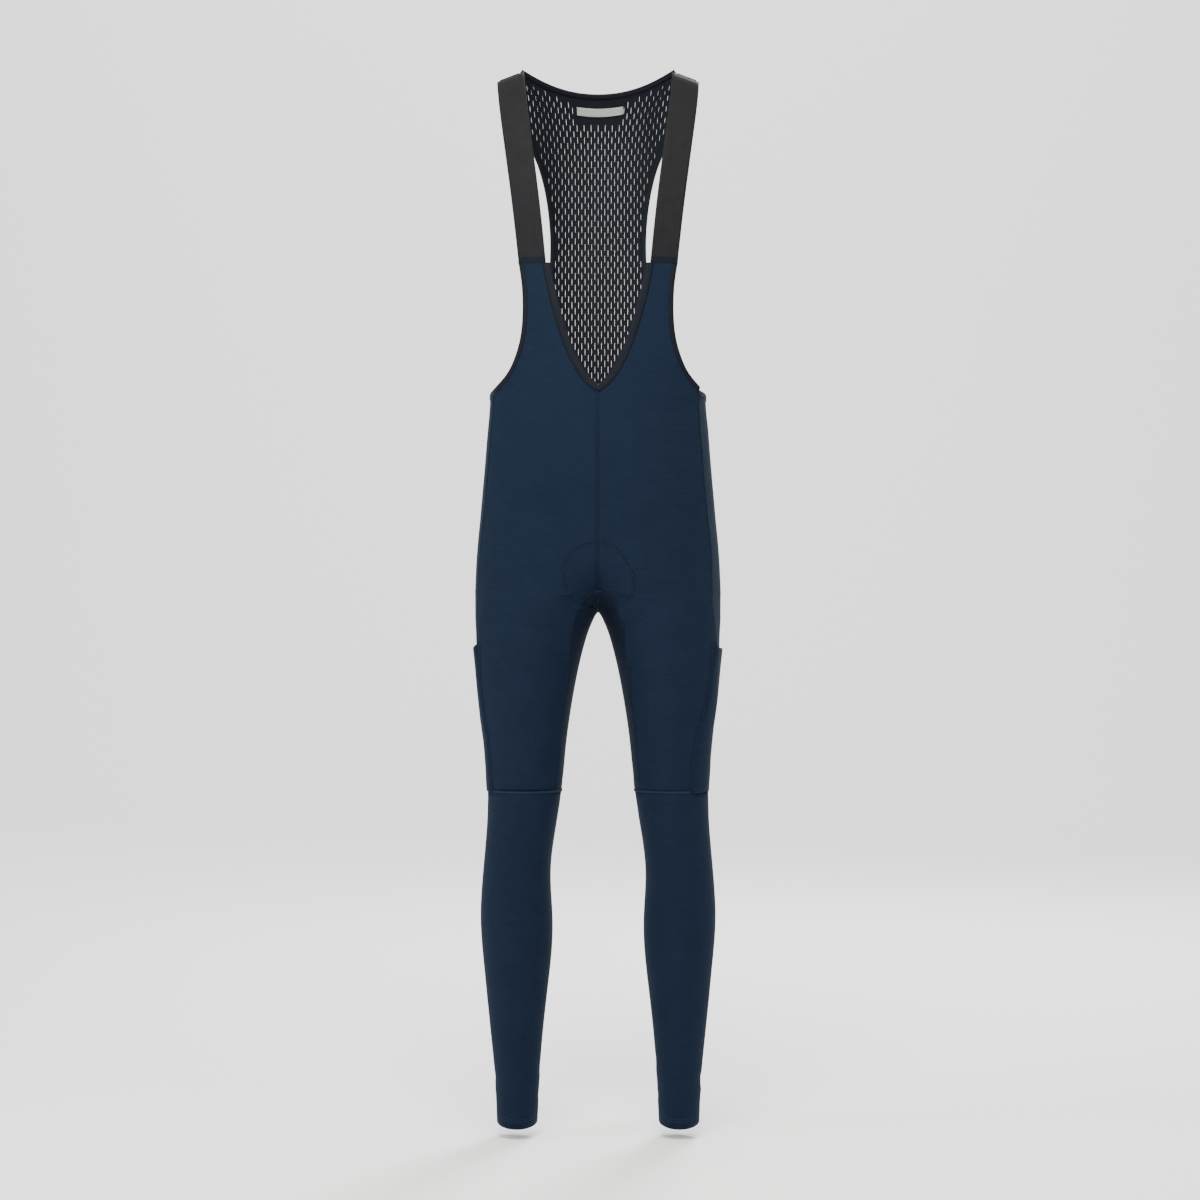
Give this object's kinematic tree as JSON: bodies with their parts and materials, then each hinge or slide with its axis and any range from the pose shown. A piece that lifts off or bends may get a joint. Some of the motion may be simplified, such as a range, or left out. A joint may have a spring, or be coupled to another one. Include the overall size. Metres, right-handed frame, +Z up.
{
  "type": "thermal bib tights",
  "caption": "Full-length cycling tights of brushed thermal knit with a deep-necked bib, elastic shoulder straps, a perforated back and thigh pockets, hollow as worn",
  "frame": {"origin": "the middle between the two straps, level with where they rest on the shoulders", "axes": "+Z up along the garment, -Y to its front, +X to the wearer's left"},
  "size_m": [0.338, 0.2326, 1.4209],
  "materials": {
    "thermal_navy": "brushed thermal knit, soft sheen",
    "thermal_dark": "brushed thermal knit, matt",
    "elastic_charcoal": "ribbed elastic webbing, matt",
    "mesh_black": "perforated knit, matt",
    "binding_black": "folded elastic tape, matt",
    "binding_slate": "folded elastic tape, matt",
    "label_grey": "woven tape, matt"
  },
  "bodies": {
    "root": {"front_left": "thermal_navy", "front_right": "thermal_navy", "back_left": "thermal_navy", "back_right": "thermal_navy", "gusset": "thermal_dark", "lower_leg_left": "thermal_navy", "lower_leg_right": "thermal_navy", "pocket_left": "thermal_navy", "pocket_right": "thermal_navy", "back_net": "mesh_black", "strap_left": "elastic_charcoal", "strap_right": "elastic_charcoal", "binding_arm_left": "binding_black", "binding_arm_right": "binding_black", "binding_neck_back": "binding_black", "binding_neck_front": "binding_slate", "label": "label_grey"}
  },
  "joints": []
}
